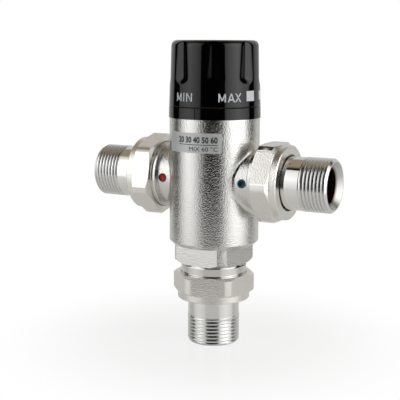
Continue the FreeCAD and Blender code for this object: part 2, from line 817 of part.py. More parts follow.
def make_spindle():
    body = new_body("spindle")
    low = f"({CARRIER_TOP} - drive_reach)"
    shoulder = "(spindle_radius + shoulder_width)"
    shoulder_top = f"({CEILING} - seat_gap)"
    shoulder_low = f"({shoulder_top} - shoulder_thickness)"
    points = [
        ("0", low),
        ("drive_thread", low),
        ("drive_thread", shoulder_low),
        (shoulder, shoulder_low),
        (shoulder, shoulder_top),
        ("spindle_radius", shoulder_top),
    ]
    groove = "(spindle_radius - 2 * ring_wire + spindle_gap)"
    for depth in ("lower_ring_depth", "upper_ring_depth"):
        groove_low = f"({BONNET_TOP} - {depth} - ring_groove_width / 2)"
        groove_high = f"({BONNET_TOP} - {depth} + ring_groove_width / 2)"
        points += [("spindle_radius", groove_low), (groove, groove_low),
                   (groove, groove_high), ("spindle_radius", groove_high)]
    clip_low = f"({BONNET_TOP} + small_gap)"
    clip_high = f"({clip_low} + clip_thickness + small_gap)"
    points += [("spindle_radius", clip_low), (CLIP_GROOVE, clip_low), (CLIP_GROOVE, clip_high),
               ("spindle_radius", clip_high), ("spindle_radius", SPINDLE_TOP), ("0", SPINDLE_TOP)]
    turned(body, "spindle_turning", points)
    spline_low = f"({BONNET_TOP} + spline_start)"
    spline = new_sketch(body, "spline_profile", role="XY_Plane", shift={"z": spline_low})
    circle(spline, "spindle_radius", "0", "spline_cut")
    cut = extrude(body, "spline", spline, f"{SPINDLE_TOP} - {spline_low} + 1", kind="Pocket", backwards=True)
    around(body, "splines", [cut], "spline_count")
    hole = new_sketch(body, "screw_hole_profile", role="XY_Plane", shift={"z": SPINDLE_TOP})
    circle(hole, "0", "0", "screw_radius")
    extrude(body, "screw_hole", hole, "screw_length - knob_web + 1", kind="Pocket")
    stand(body, size("flute_turn_angle"))


def make_spindle_clip():
    body = new_body("spindle_circlip")
    low = f"({BONNET_TOP} + 1.5 * small_gap)"
    outer = "(spindle_radius + clip_width)"
    turned(body, "circlip_ring", [
        (f"{CLIP_GROOVE} + seat_gap", low),
        (outer, low),
        (outer, f"{low} + clip_thickness"),
        (f"{CLIP_GROOVE} + seat_gap", f"{low} + clip_thickness"),
    ], angle="360 - clip_opening_angle")
    stand(body)


def make_head_seals():
    seal("bonnet_o_ring", "head_bore - thread_gap - ring_wire", "ring_wire",
         f"{HEAD_FLOOR} + ring_groove_offset + ring_groove_width / 2")
    for place in ("lower", "upper"):
        seal(f"spindle_o_ring_{place}", "spindle_radius + spindle_gap - ring_wire",
             "ring_wire - small_gap / 10", f"{BONNET_TOP} - {place}_ring_depth")


# Knob

def make_knob():
    """A fluted shell with a ribbed hub that grips the spindle's splines."""
    body = new_body("knob")
    blank = turned(body, "knob_blank", [
        ("0", KNOB_FOOT),
        (KNOB_FOOT_RADIUS, KNOB_FOOT),
        (KNOB_TOP_RADIUS, KNOB_TOP),
        ("0", KNOB_TOP),
    ])
    document.recompute()
    rim = rounded(body, "knob_rim", blank, [end_ring(blank.Shape)], "knob_rounding")
    document.recompute()
    rounded(body, "knob_foot_edge", rim, [end_ring(rim.Shape, upper=False)], "knob_foot_rounding")
    flutes = around(body, "flutes", [make_flute(body)], "flute_count")
    document.recompute()
    rounded(body, "flute_rims", flutes, flute_edges(flutes.Shape), "flute_rim")
    hollow_knob(body)
    sketch = new_sketch(body, "socket_profile", role="XY_Plane", shift={"z": f"{KNOB_HUB_LOW} - 1"})
    circle(sketch, "0", "0", "spindle_radius + seat_gap")
    extrude(body, "socket", sketch, f"{SPINDLE_TOP} + small_gap - {KNOB_HUB_LOW} + 1", kind="Pocket",
            backwards=True)
    tooth_sketch = new_sketch(body, "tooth_profile", role="XY_Plane", shift={"z": f"{KNOB_HUB_LOW} + 1"})
    circle(tooth_sketch, "spindle_radius + seat_gap", "0", "spline_cut - small_gap")
    tooth = extrude(body, "tooth", tooth_sketch, f"{SPINDLE_TOP} - {KNOB_HUB_LOW} - 1")
    around(body, "teeth", [tooth], "spline_count")
    stand(body, size("flute_turn_angle"))


def make_flute(body):
    """One finger flute: a round-ended cutter run down the outside of the knob."""
    sketch = new_sketch(body, "flute_profile", shift={"x": f"{KNOB_TOP_RADIUS} + flute_radius - flute_depth"})
    rough = ROUGH / 4
    centre = Vector(0, 2 * rough, 0)
    arc = Part.ArcOfCircle(Part.Circle(centre, Vector(0, 0, 1), rough), -math.pi / 2, 0)
    corners = [Vector(rough, 2 * rough, 0), Vector(rough, 6 * rough, 0), Vector(0, 6 * rough, 0), Vector(0, rough, 0)]
    bend = sketch.addGeometry(arc)
    side = sketch.addGeometry(Part.LineSegment(corners[0], corners[1]))
    top = sketch.addGeometry(Part.LineSegment(corners[1], corners[2]))
    axis = sketch.addGeometry(Part.LineSegment(corners[2], corners[3]))
    for first, second in ((side, top), (top, axis), (axis, bend)):
        sketch.addConstraint(Sketcher.Constraint("Coincident", first, 2, second, 1))
    sketch.addConstraint(Sketcher.Constraint("PointOnObject", bend, 3, -2))
    sketch.addConstraint(Sketcher.Constraint("PointOnObject", bend, 1, -2))
    sketch.addConstraint(Sketcher.Constraint("PointOnObject", axis, 1, -2))
    sketch.addConstraint(Sketcher.Constraint("Vertical", side))
    sketch.addConstraint(Sketcher.Constraint("Horizontal", top))
    sketch.addConstraint(Sketcher.Constraint("Tangent", bend, 2, side, 1))
    radius = sketch.addConstraint(Sketcher.Constraint("Radius", bend, rough))
    sketch.setExpression(f"Constraints[{radius}]", bound("flute_radius"))
    low = sketch.addConstraint(Sketcher.Constraint("DistanceY", -1, 1, bend, 3, 2 * rough))
    sketch.setExpression(f"Constraints[{low}]", bound(f"{KNOB_FOOT} + flute_foot + flute_radius"))
    high = sketch.addConstraint(Sketcher.Constraint("DistanceY", -1, 1, top, 2, 6 * rough))
    sketch.setExpression(f"Constraints[{high}]", bound(f"{KNOB_TOP} + 1"))
    return spin(body, "flute", sketch, kind="Groove")


def flute_edges(shape):
    """The edges where the flutes leave the outside of the knob."""
    names = []
    for number, edge in enumerate(shape.Edges, start=1):
        sides = shape.ancestorsOfType(edge, Part.Face)
        in_flute = [abs(getattr(face.Surface, "Radius", 0) - size("flute_radius")) < 0.001 for face in sides]
        if in_flute.count(True) == 1:
            names.append(f"Edge{number}")
    return names


def hollow_knob(body):
    """Open the knob from below, leaving its hub and ribs, and sink the well for the screw."""
    skirt_inner = f"({KNOB_FOOT_RADIUS} - skirt_wall)"
    skirt_top = f"({KNOB_FOOT} + skirt_height)"
    shell_inner = f"({KNOB_TOP_RADIUS} - shell_wall)"
    ceiling = f"({KNOB_TOP} - knob_ceiling)"
    turned(body, "knob_hollow", [
        ("0", f"{KNOB_FOOT} - 1"),
        (skirt_inner, f"{KNOB_FOOT} - 1"),
        (skirt_inner, skirt_top),
        (shell_inner, skirt_top),
        (shell_inner, ceiling),
        ("knob_hub", ceiling),
        ("knob_hub", KNOB_HUB_LOW),
        ("0", KNOB_HUB_LOW),
    ], kind="Groove")
    rib_sketch = new_sketch(body, "rib_profile")
    rectangle(rib_sketch, "knob_hub - 1", f"{ceiling} - knob_rib_height",
              f"{shell_inner} + 1", f"{ceiling} + 0.5")
    rib = extrude(body, "rib", rib_sketch, "knob_rib", both=True)
    around(body, "ribs", [rib], "flute_count")
    cap_seat = f"({KNOB_TOP} - cap_thickness)"
    turned(body, "knob_well_cut", [
        ("screw_radius + small_gap", KNOB_HUB_LOW),
        ("screw_radius + small_gap", WELL_FLOOR),
        ("knob_well", WELL_FLOOR),
        ("knob_well", cap_seat),
        ("cap_radius + small_gap", cap_seat),
        ("cap_radius + small_gap", f"{KNOB_TOP} + 1"),
        ("0", f"{KNOB_TOP} + 1"),
        ("0", KNOB_HUB_LOW),
    ], kind="Groove")


def make_knob_cap():
    body = new_body("knob_cap")
    low = f"({KNOB_TOP} - cap_thickness)"
    skirt = "(knob_well - small_gap)"
    turned(body, "cap_disc", [
        ("0", low),
        (f"{skirt} - cap_skirt_wall", low),
        (f"{skirt} - cap_skirt_wall", f"{low} - cap_skirt_depth"),
        (skirt, f"{low} - cap_skirt_depth"),
        (skirt, low),
        ("cap_radius", low),
        ("cap_radius", f"{KNOB_TOP} - small_gap"),
        ("0", f"{KNOB_TOP} - small_gap"),
    ])
    stand(body)


def make_knob_screw():
    body = new_body("knob_screw")
    shank = "(screw_radius - seat_gap)"
    shoulder = f"({WELL_FLOOR} + screw_head_height / 2)"
    turned(body, "screw_turning", [
        ("0", f"{WELL_FLOOR} - screw_length"),
        (shank, f"{WELL_FLOOR} - screw_length"),
        (shank, WELL_FLOOR),
        ("screw_head", WELL_FLOOR),
        ("screw_head", shoulder),
        ("screw_head - screw_head_bevel", f"{WELL_FLOOR} + screw_head_height"),
        ("0", f"{WELL_FLOOR} + screw_head_height"),
    ])
    slots = new_sketch(body, "screw_slot_profile", role="XY_Plane", shift={"z": shoulder})
    rectangle(slots, "-screw_radius", "-screw_slot / 2", "screw_radius", "screw_slot / 2")
    slot = extrude(body, "screw_slot", slots, "screw_head_height", kind="Pocket", backwards=True)
    around(body, "screw_cross", [slot], "screw_recess_arms")
    stand(body)


# Overload carrier, which follows the spindle's thread without turning

def make_carrier():
    body = new_body("overload_carrier")
    nut_bore = "(drive_thread + small_gap)"
    turned(body, "carrier_cup", [
        (nut_bore, CARRIER_TOP),
        (nut_bore, CARRIER_HUB),
        (CARRIER_INNER, CARRIER_HUB),
        (CARRIER_INNER, CARRIER_LOW),
        (CARRIER_RADIUS, CARRIER_LOW),
        (CARRIER_RADIUS, CARRIER_TOP),
    ])
    sketch = new_sketch(body, "key_profile", role="XY_Plane", shift={"z": CARRIER_HUB})
    rectangle(sketch, f"{CARRIER_INNER} + carrier_wall / 3", "-key_width / 2",
              "carrier_bore + key_depth - key_gap", "key_width / 2")
    key = extrude(body, "key", sketch, "carrier_hub_height")
    mirrored(body, "keys", [key])
    stand(body)


def make_carrier_parts():
    """The spring that lets the element over-travel, held in the carrier by a retainer."""
    cap_low = f"({CARRIER_LOW} + retainer_thickness)"
    cap_high = f"({cap_low} + pin_cap_thickness)"
    pin_seat = f"({cap_low} + pin_cap_thickness / 2)"
    retainer = new_body("overload_retainer")
    turned(retainer, "retainer_disc", [
        ("retainer_bore", CARRIER_LOW),
        (f"{CARRIER_INNER} - seat_gap", CARRIER_LOW),
        (f"{CARRIER_INNER} - seat_gap", cap_low),
        ("retainer_bore", cap_low),
    ])
    stand(retainer)
    cap = new_body("overload_pin_cap")
    turned(cap, "pin_cap_disc", [
        ("0", pin_seat),
        ("element_pin + seat_gap", pin_seat),
        ("element_pin + seat_gap", cap_low),
        (f"{CARRIER_INNER} - pin_cap_gap", cap_low),
        (f"{CARRIER_INNER} - pin_cap_gap", cap_high),
        ("0", cap_high),
    ])
    stand(cap)
    stand(coil("overload_spring", f"{CARRIER_INNER} - overload_inset", "overload_wire", cap_high,
               CARRIER_HUB, "overload_turns"))
    pin = new_body("element_pin")
    turned(pin, "pin_turning", [
        ("0", ELEMENT_PIN_LOW),
        ("element_pin", ELEMENT_PIN_LOW),
        ("element_pin", pin_seat),
        ("0", pin_seat),
    ])
    stand(pin)


# Regulating unit, which slides between the cold seat above and the hot seat below

def make_shuttle():
    body = new_body("shuttle")
    outer = "(main_bore - shuttle_gap)"
    inner = f"({outer} - shuttle_wall)"
    groove = "(main_bore - 2 * ring_wire)"
    ring_low = f"({SHUTTLE_RING} - ring_groove_width / 2)"
    ring_high = f"({SHUTTLE_RING} + ring_groove_width / 2)"
    high = f"({SHUTTLE_LOW} + shuttle_length)"
    turned(body, "shuttle_sleeve", [
        (inner, SHUTTLE_LOW),
        (outer, SHUTTLE_LOW),
        (outer, ring_low),
        (groove, ring_low),
        (groove, ring_high),
        (outer, ring_high),
        (outer, high),
        (inner, high),
    ])
    hub_sketch = new_sketch(body, "shuttle_hub_profile", role="XY_Plane", shift={"z": SHUTTLE_HUB_LOW})
    circle(hub_sketch, "0", "0", f"{RETURN_COIL} + return_wire + shuttle_hub_lap")
    extrude(body, "shuttle_hub", hub_sketch, "shuttle_hub_height")
    arm_sketch = new_sketch(body, "shuttle_arm_profile", role="XY_Plane", shift={"z": SHUTTLE_HUB_LOW})
    rectangle(arm_sketch, "0", "-shuttle_arm / 2", f"{inner} + shuttle_wall / 3", "shuttle_arm / 2")
    arm = extrude(body, "shuttle_arm", arm_sketch, "shuttle_hub_height")
    around(body, "shuttle_arms", [arm], "shuttle_arms")
    bore = new_sketch(body, "shuttle_bore_profile", role="XY_Plane", shift={"z": f"{SHUTTLE_HUB_LOW} - 1"})
    circle(bore, "0", "0", "element_radius + seat_gap")
    extrude(body, "shuttle_bore", bore, "shuttle_hub_height + 2", kind="Pocket", backwards=True)
    stand(body)
    seal("shuttle_o_ring", "main_bore - ring_wire", "ring_wire - small_gap / 10", SHUTTLE_RING)


def make_element():
    body = new_body("wax_element")
    low = f"({SHUTTLE_HUB_LOW} - element_cup_length)"
    flange_low = f"({SHUTTLE_HUB_LOW} + shuttle_hub_height)"
    flange_high = f"({flange_low} + element_flange_height)"
    bore_floor = f"({ELEMENT_PIN_LOW} - element_stroke - small_gap)"
    blank = turned(body, "element_turning", [
        ("0", low),
        ("element_radius", low),
        ("element_radius", flange_low),
        ("element_flange", flange_low),
        ("element_flange", flange_high),
        ("element_guide", flange_high),
        ("element_guide", GUIDE_TOP),
        ("element_pin + seat_gap", GUIDE_TOP),
        ("element_pin + seat_gap", bore_floor),
        ("0", bore_floor),
    ])
    document.recompute()
    rounded(body, "element_foot", blank, [end_ring(blank.Shape, upper=False)], "element_rounding")
    stand(body)


def make_hot_seat():
    """The pressed-in ring the shuttle closes on, with the ledge the return spring stands on."""
    body = new_body("hot_seat_ring")
    ledge_top = f"({MAIN_FLOOR} + seat_ledge_height)"
    turned(body, "seat_ring_turning", [
        ("seat_ring_ledge", MAIN_FLOOR),
        ("main_bore - seat_gap", MAIN_FLOOR),
        ("main_bore - seat_gap", SEAT_TOP),
        ("main_bore - seat_ring_wall", SEAT_TOP),
        ("main_bore - seat_ring_wall", ledge_top),
        ("seat_ring_ledge", ledge_top),
    ])
    stand(body)
    stand(coil("return_spring", RETURN_COIL, "return_wire", ledge_top, SHUTTLE_HUB_LOW, "return_turns"))


def check_and_write():
    """Stop if any feature failed, then write one file for each piece."""
    document.recompute()
    for item in document.Objects:
        if any(word in item.State for word in ("Invalid", "Error")):
            raise RuntimeError(f"{item.Name} failed: {item.State}")
    os.makedirs("parts", exist_ok=True)
    for body in document.findObjects("PartDesign::Body"):
        shape = body.Shape
        if shape.isNull() or not shape.isValid() or len(shape.Solids) != 1:
            raise RuntimeError(f"{body.Label} is not one valid solid")
        shape.exportStep(f"parts/{body.Label}.step")
        print(f"{body.Label:24s} {shape.Volume:10.1f} mm3  {len(shape.Faces)} faces")


make_valve_body()
make_marks()
make_label()
make_unions()
for inlet in SIDES:
    make_check_cage(inlet)
    make_check_poppet(inlet)
    make_check_spring(inlet)
    make_strainer(inlet)
make_bonnet()
make_index_ring()
make_spindle()
make_spindle_clip()
make_head_seals()
make_knob()
make_knob_cap()
make_knob_screw()
make_carrier()
make_carrier_parts()
make_shuttle()
make_element()
make_hot_seat()
check_and_write()
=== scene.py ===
# The looks of a three-way mixing valve: a shot-blasted, plated casting with bright
# union nuts and threaded tailpieces, and a gloss black knob with its printed scale.
# Metres. Z runs up the valve's axis, cold is at +X, and the label faces -Y.

import math

import bmesh
import bpy
from mathutils import Matrix, Vector


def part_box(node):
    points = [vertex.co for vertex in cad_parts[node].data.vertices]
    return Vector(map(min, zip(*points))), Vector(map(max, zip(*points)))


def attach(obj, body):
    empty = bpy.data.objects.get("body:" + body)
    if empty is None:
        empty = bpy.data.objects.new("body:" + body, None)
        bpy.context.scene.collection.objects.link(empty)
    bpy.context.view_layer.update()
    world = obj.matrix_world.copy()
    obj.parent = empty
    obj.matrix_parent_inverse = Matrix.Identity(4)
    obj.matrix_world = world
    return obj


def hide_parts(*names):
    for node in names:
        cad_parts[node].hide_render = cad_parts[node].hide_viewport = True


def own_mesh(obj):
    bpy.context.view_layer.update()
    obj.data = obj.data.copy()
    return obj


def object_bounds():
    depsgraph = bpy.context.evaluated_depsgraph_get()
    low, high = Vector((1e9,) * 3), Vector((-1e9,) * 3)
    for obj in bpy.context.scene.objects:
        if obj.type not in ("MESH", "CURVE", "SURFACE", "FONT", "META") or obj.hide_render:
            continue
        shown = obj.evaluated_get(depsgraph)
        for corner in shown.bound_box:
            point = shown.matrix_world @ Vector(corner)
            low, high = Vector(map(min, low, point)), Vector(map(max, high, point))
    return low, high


MM = 0.001

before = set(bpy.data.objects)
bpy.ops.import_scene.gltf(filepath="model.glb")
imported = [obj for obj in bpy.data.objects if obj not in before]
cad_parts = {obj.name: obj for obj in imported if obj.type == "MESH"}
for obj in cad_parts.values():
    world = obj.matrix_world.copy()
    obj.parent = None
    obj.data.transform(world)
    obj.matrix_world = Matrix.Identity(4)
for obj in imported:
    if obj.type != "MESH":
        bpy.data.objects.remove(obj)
cad_low, cad_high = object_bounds()

# Places read from the model's parts
KNOB_LOW, KNOB_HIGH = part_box("knob")
LABEL_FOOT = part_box("label_plate")[0].z
TAIL_REACH = cad_high.x
PORT_HEIGHT = (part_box("cold_tailpiece")[0].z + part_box("cold_tailpiece")[1].z) / 2
MARK_REACH = (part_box("cold_mark")[0].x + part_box("cold_mark")[1].x) / 2

# Sizes on the casting and the nuts
MARK_RADIUS = 2.2 * MM
SPIGOT_START = 25.3 * MM
WRENCH_FOOT = 41.6 * MM
NUT_CORNER_REACH = 20.7 * MM

# Sizes on the tailpieces
THREAD_PITCH = 25.4 / 14 * MM
THREAD_DEPTH = 0.9 * MM
TAIL_RADIUS = 13.24 * MM
TAIL_NECK = 13.04 * MM
TAIL_CORE = 12.0 * MM
TAIL_BEVEL = 1.1 * MM
TAIL_MOUTH = 11.6 * MM
TAIL_MOUTH_DEPTH = 3.0 * MM
TAIL_BORE = 8.8 * MM
TAIL_COLLAR = 14.9 * MM
TAIL_COLLAR_FACE = 26.5 * MM
TAIL_LENGTH = 29.5 * MM
THREAD_LENGTH = 14.3 * MM
THREAD_SHARES = (0.0, 0.08, 0.25, 0.34, 0.66, 0.75, 0.92, 1.0)
THREAD_DEPTHS = (1.0, 0.94, 0.1, 0.0, 0.0, 0.1, 0.94, 1.0)
TURN_STEPS = 96

# Colours and grain of the plate
CAST_NICKEL = (0.755, 0.75, 0.725)
FORGED_NICKEL = (0.88, 0.86, 0.82)
TURNED_NICKEL = (0.87, 0.86, 0.83)
ROLLED_NICKEL = (0.8, 0.8, 0.785)
GRAIN_SCALE = 1640.0
CAST_RELIEF = 0.155 * MM
FORGED_RELIEF = 0.13 * MM


# Materials

def surface(name, color, roughness, metallic=0.0, **sockets):
    """A material with its even values on the shader's own sockets."""
    material = bpy.data.materials.new(name)
    material.use_nodes = True
    shader = shader_of(material)
    shader.inputs["Base Color"].default_value = (*color, 1.0)
    shader.inputs["Roughness"].default_value = roughness
    shader.inputs["Metallic"].default_value = metallic
    for socket, value in sockets.items():
        shader.inputs[socket.replace("_", " ")].default_value = value
    return material


def shader_of(material):
    return material.node_tree.nodes["Principled BSDF"]


def add_node(material, kind, **settings):
    """A new node, with its sockets or its settings filled in by name."""
    node = material.node_tree.nodes.new(kind)
    for key, value in settings.items():
        if key in node.inputs:
            node.inputs[key].default_value = value
        else:
            setattr(node, key, value)
    return node


def join(material, source, output, target, socket):
    material.node_tree.links.new(source.outputs[output], target.inputs[socket])


def noise(material, scale, detail=2.0):
    """Noise over the piece's own coordinates."""
    place = add_node(material, "ShaderNodeTexCoord")
    node = add_node(material, "ShaderNodeTexNoise", Scale=scale, Detail=detail)
    join(material, place, "Object", node, "Vector")
    return node


def spread(material, source, output, low, high):
    """Stretch a value from 0..1 onto low..high."""
    node = add_node(material, "ShaderNodeMapRange")
    node.inputs["To Min"].default_value = low
    node.inputs["To Max"].default_value = high
    join(material, source, output, node, "Value")
    return node


def relief(material, source, output, depth, strength=1.0):
    """Raise the surface by a texture, to a depth in metres."""
    node = add_node(material, "ShaderNodeBump", Strength=strength, Distance=depth)
    join(material, source, output, node, "Height")
    join(material, node, "Normal", shader_of(material), "Normal")


def roughen(material, source, output, low, high):
    """Let the roughness follow a value, from a low one to a high one."""
    node = spread(material, source, output, low, high)
    join(material, node, "Result", shader_of(material), "Roughness")


def color_by(material, source, output, stops):
    """Let the colour follow a value. Each stop has a place from 0 to 1 and a colour."""
    ramp = add_node(material, "ShaderNodeValToRGB")
    points = ramp.color_ramp.elements
    for number, (place, color) in enumerate(stops):
        point = points[number] if number < 2 else points.new(place)
        point.position = place
        point.color = (*color, 1.0)
    join(material, source, output, ramp, "Fac")
    join(material, ramp, "Color", shader_of(material), "Base Color")


def reach_from_axis(material, centre, axis):
    """Distance of the surface from one of the valve's axes, in metres."""
    place = add_node(material, "ShaderNodeTexCoord")
    offset = [-value * share for value, share in zip(centre, axis)]
    mapping = add_node(material, "ShaderNodeMapping", Location=offset, Scale=axis)
    join(material, place, "Object", mapping, "Vector")
    length = add_node(material, "ShaderNodeVectorMath", operation="LENGTH")
    join(material, mapping, "Vector", length, "Vector")
    return length


def between(material, source, output, low, high):
    """0 below the low value, 1 above the high one, and a ramp between them."""
    node = add_node(material, "ShaderNodeMapRange")
    node.inputs["From Min"].default_value = low
    node.inputs["From Max"].default_value = high
    join(material, source, output, node, "Value")
    return node


def combine(material, operation, first, second, outputs=("Result", "Result")):
    """Work out one value from two nodes' outputs."""
    node = add_node(material, "ShaderNodeMath", operation=operation)
    join(material, first, outputs[0], node, 0)
    join(material, second, outputs[1], node, 1)
    return node


def blasted_plate():
    """Nickel plate over a shot-blasted brass casting, with its spigots left as turned."""
    material = surface("blasted_plate", CAST_NICKEL, 0.2, 1.0)
    place = add_node(material, "ShaderNodeTexCoord")
    parts = add_node(material, "ShaderNodeSeparateXYZ")
    join(material, place, "Object", parts, "Vector")
    outwards = add_node(material, "ShaderNodeMath", operation="ABSOLUTE")
    join(material, parts, "X", outwards, "Value")
    inboard = between(material, outwards, "Value", SPIGOT_START + 0.2 * MM, SPIGOT_START)
    above = between(material, parts, "Z", WRENCH_FOOT - 0.6 * MM, WRENCH_FOOT)
    cast = combine(material, "MULTIPLY", inboard, above)
    grain = noise(material, GRAIN_SCALE, 1.0)
    height = combine(material, "MULTIPLY", grain, cast, ("Fac", "Value"))
    relief(material, height, "Value", CAST_RELIEF)
    roughen(material, cast, "Value", 0.1, 0.2)
    return material


def barrel_plate(name, centre, axis):
    """Bright nickel plate on a turned barrel, darker and rougher in its mouth, with bare metal in its bore
    painted near-black brown as shade.
    """
    material = surface(name, TURNED_NICKEL, 0.07, 1.0)
    reach = reach_from_axis(material, centre, axis)
    outside = between(material, reach, "Value", TAIL_MOUTH, TAIL_MOUTH + 0.1 * MM)
    roughen(material, outside, "Result", 0.34, 0.07)
    free_of_bore_shade = between(material, reach, "Value", TAIL_BORE, TAIL_MOUTH + 0.05 * MM)
    # Painted shade: near-black brown on the bore's wall, fading into a darker grey over the mouth and then
    # to the plain nickel outside.
    color_by(material, free_of_bore_shade, "Result", (
        (0.0, (0.12, 0.075, 0.04)),
        (0.3, (0.6, 0.6, 0.59)),
        (0.98, (0.62, 0.62, 0.61)),
        (1.0, TURNED_NICKEL),
    ))
    relief(material, noise(material, 260.0, 1.0), "Fac", 0.01 * MM)
    return material


def thread_plate():
    """Nickel plate on rolled threads, less bright than the barrel."""
    material = surface("thread_plate", ROLLED_NICKEL, 0.2, 1.0)
    roughen(material, noise(material, 900.0), "Fac", 0.15, 0.25)
    return material


def forged_plate(name, centre, axis):
    """Nickel plate on a forged nut: pebbled on the flats and bright on the turned corners."""
    material = surface(name, FORGED_NICKEL, 0.3, 1.0)
    reach = reach_from_axis(material, centre, axis)
    turned = between(material, reach, "Value", NUT_CORNER_REACH - 0.35 * MM, NUT_CORNER_REACH - 0.15 * MM)
    forged = add_node(material, "ShaderNodeMath", operation="SUBTRACT")
    forged.inputs[0].default_value = 1.0
    join(material, turned, "Result", forged, 1)
    grain = noise(material, GRAIN_SCALE, 1.0)
    height = combine(material, "MULTIPLY", grain, forged, ("Fac", "Value"))
    relief(material, height, "Value", FORGED_RELIEF)
    roughen(material, forged, "Value", 0.12, 0.26)
    return material


def black_moulding():
    """Gloss black moulded plastic with a faint unevenness."""
    material = surface("black_moulding", (0.0008, 0.0008, 0.0008), 0.08)
    relief(material, noise(material, 120.0, 1.0), "Fac", 0.02 * MM)
    roughen(material, noise(material, 500.0), "Fac", 0.05, 0.11)
    return material


def mark_paint(name, rim, heart, centre):
    """Glossy paint in a drilled dimple, with a rim colour and a heart colour in its middle that is painted
    reflection.
    """
    material = surface(name, rim, 0.12, Specular_IOR_Level=0.25)
    reach = reach_from_axis(material, centre, (1.0, 0.0, 1.0))
    share = between(material, reach, "Value", 0.0, MARK_RADIUS)
    # Painted reflection: the heart colour in the middle stands in for what the glossy dimple reflects.
    color_by(material, share, "Result", ((0.5, heart), (0.85, rim)))
    relief(material, reach, "Value", 1.0, 0.35)
    return material


def painted(name, color, roughness=0.35):
    """Flat paint or ink, with a slightly uneven sheen."""
    material = surface(name, color, roughness)
    roughen(material, noise(material, 1500.0), "Fac", roughness - 0.08, roughness + 0.08)
    return material


def foil():
    """Silvered paper: mostly matt, with a soft sheen."""
    material = surface("label_foil", (0.68, 0.7, 0.695), 0.45, 0.35)
    roughen(material, noise(material, 1200.0), "Fac", 0.4, 0.5)
    return material


def metal(name, color, low, high):
    """Bare metal, between a low and a high roughness."""
    material = surface(name, color, low, 1.0)
    roughen(material, noise(material, 600.0), "Fac", low, high)
    return material


def moulded(name, color, roughness):
    """Rubber, fibre or plain plastic, with a fine relief."""
    material = surface(name, color, roughness)
    texture = noise(material, 900.0)
    relief(material, texture, "Fac", 0.01 * MM)
    roughen(material, texture, "Fac", roughness - 0.06, roughness + 0.06)
    return material


SIDE_AXIS = ((0.0, 0.0, PORT_HEIGHT), (0.0, 1.0, 1.0))
OUTLET_AXIS = ((0.0, 0.0, 0.0), (1.0, 1.0, 0.0))
HOT_MARK_CENTRE = (-MARK_REACH, 0.0, PORT_HEIGHT)
COLD_MARK_CENTRE = (MARK_REACH, 0.0, PORT_HEIGHT)

BLASTED = blasted_plate()
SIDE_BARREL = barrel_plate("side_barrel_plate", *SIDE_AXIS)
OUTLET_BARREL = barrel_plate("outlet_barrel_plate", *OUTLET_AXIS)
THREADED = thread_plate()
SIDE_NUT = forged_plate("side_nut_plate", *SIDE_AXIS)
OUTLET_NUT = forged_plate("outlet_nut_plate", *OUTLET_AXIS)
BLACK = black_moulding()
WHITE_PRINT = painted("white_print", (0.75, 0.78, 0.82))
FOIL = foil()
DARK_PRINT = painted("dark_print", (0.02, 0.02, 0.022), 0.5)
# Painted reflection: the red's lighter heart is a painted highlight and the blue's black heart a painted
# dark reflection.
RED_PAINT = mark_paint("red_paint", (0.2, 0.01, 0.008), (0.5, 0.03, 0.02), HOT_MARK_CENTRE)
BLUE_PAINT = mark_paint("blue_paint", (0.01, 0.15, 0.22), (0.01, 0.012, 0.015), COLD_MARK_CENTRE)
BRASS = metal("turned_brass", (0.72, 0.5, 0.22), 0.18, 0.34)
STEEL = metal("drawn_steel", (0.55, 0.55, 0.54), 0.22, 0.34)
COPPER = metal("drawn_copper", (0.75, 0.36, 0.2), 0.2, 0.36)
RUBBER = moulded("seal_rubber", (0.02, 0.02, 0.02), 0.55)
FIBRE = moulded("pressed_fibre", (0.16, 0.05, 0.03), 0.7)
ACETAL = moulded("white_acetal", (0.75, 0.75, 0.7), 0.38)

FINISHES = {
    "valve_body": BLASTED, "label_plate": FOIL, "hot_mark": RED_PAINT, "cold_mark": BLUE_PAINT,
    "index_ring": BLACK, "knob": BLACK, "knob_cap": BLACK, "knob_screw": STEEL,
    "bonnet": BRASS, "spindle": BRASS, "spindle_circlip": STEEL, "bonnet_o_ring": RUBBER,
    "spindle_o_ring_lower": RUBBER, "spindle_o_ring_upper": RUBBER, "overload_carrier": BRASS,
    "overload_retainer": STEEL, "overload_pin_cap": BRASS, "overload_spring": STEEL,
    "element_pin": STEEL, "shuttle": ACETAL, "shuttle_o_ring": RUBBER, "wax_element": COPPER,
    "hot_seat_ring": BRASS, "return_spring": STEEL,
}
for side in ("cold", "hot"):
    FINISHES[f"{side}_check_cage"] = ACETAL
    FINISHES[f"{side}_check_poppet"] = ACETAL
    FINISHES[f"{side}_check_spring"] = STEEL
    FINISHES[f"{side}_strainer"] = STEEL
for port in ("outlet", "cold", "hot"):
    FINISHES[f"{port}_union_nut"] = OUTLET_NUT if port == "outlet" else SIDE_NUT
    FINISHES[f"{port}_washer"] = FIBRE
    FINISHES[f"{port}_tailpiece"] = OUTLET_BARREL if port == "outlet" else SIDE_BARREL


def dress(piece, material):
    piece.data.materials.clear()
    piece.data.materials.append(material)


for node, finish in FINISHES.items():
    dress(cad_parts[node], finish)


# New pieces

def make_piece(name, mesh, material, body, smooth_below=None):
    """Turn a bmesh into a piece that rides on a body, smooth where it bends by less than an angle."""
    bmesh.ops.recalc_face_normals(mesh, faces=mesh.faces)
    data = bpy.data.meshes.new(name)
    mesh.to_mesh(data)
    mesh.free()
    piece = bpy.data.objects.new(name, data)
    bpy.context.scene.collection.objects.link(piece)
    dress(piece, material)
    if smooth_below is not None:
        data.shade_smooth()
        data.set_sharp_from_angle(angle=math.radians(smooth_below))
    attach(piece, body)
    return piece


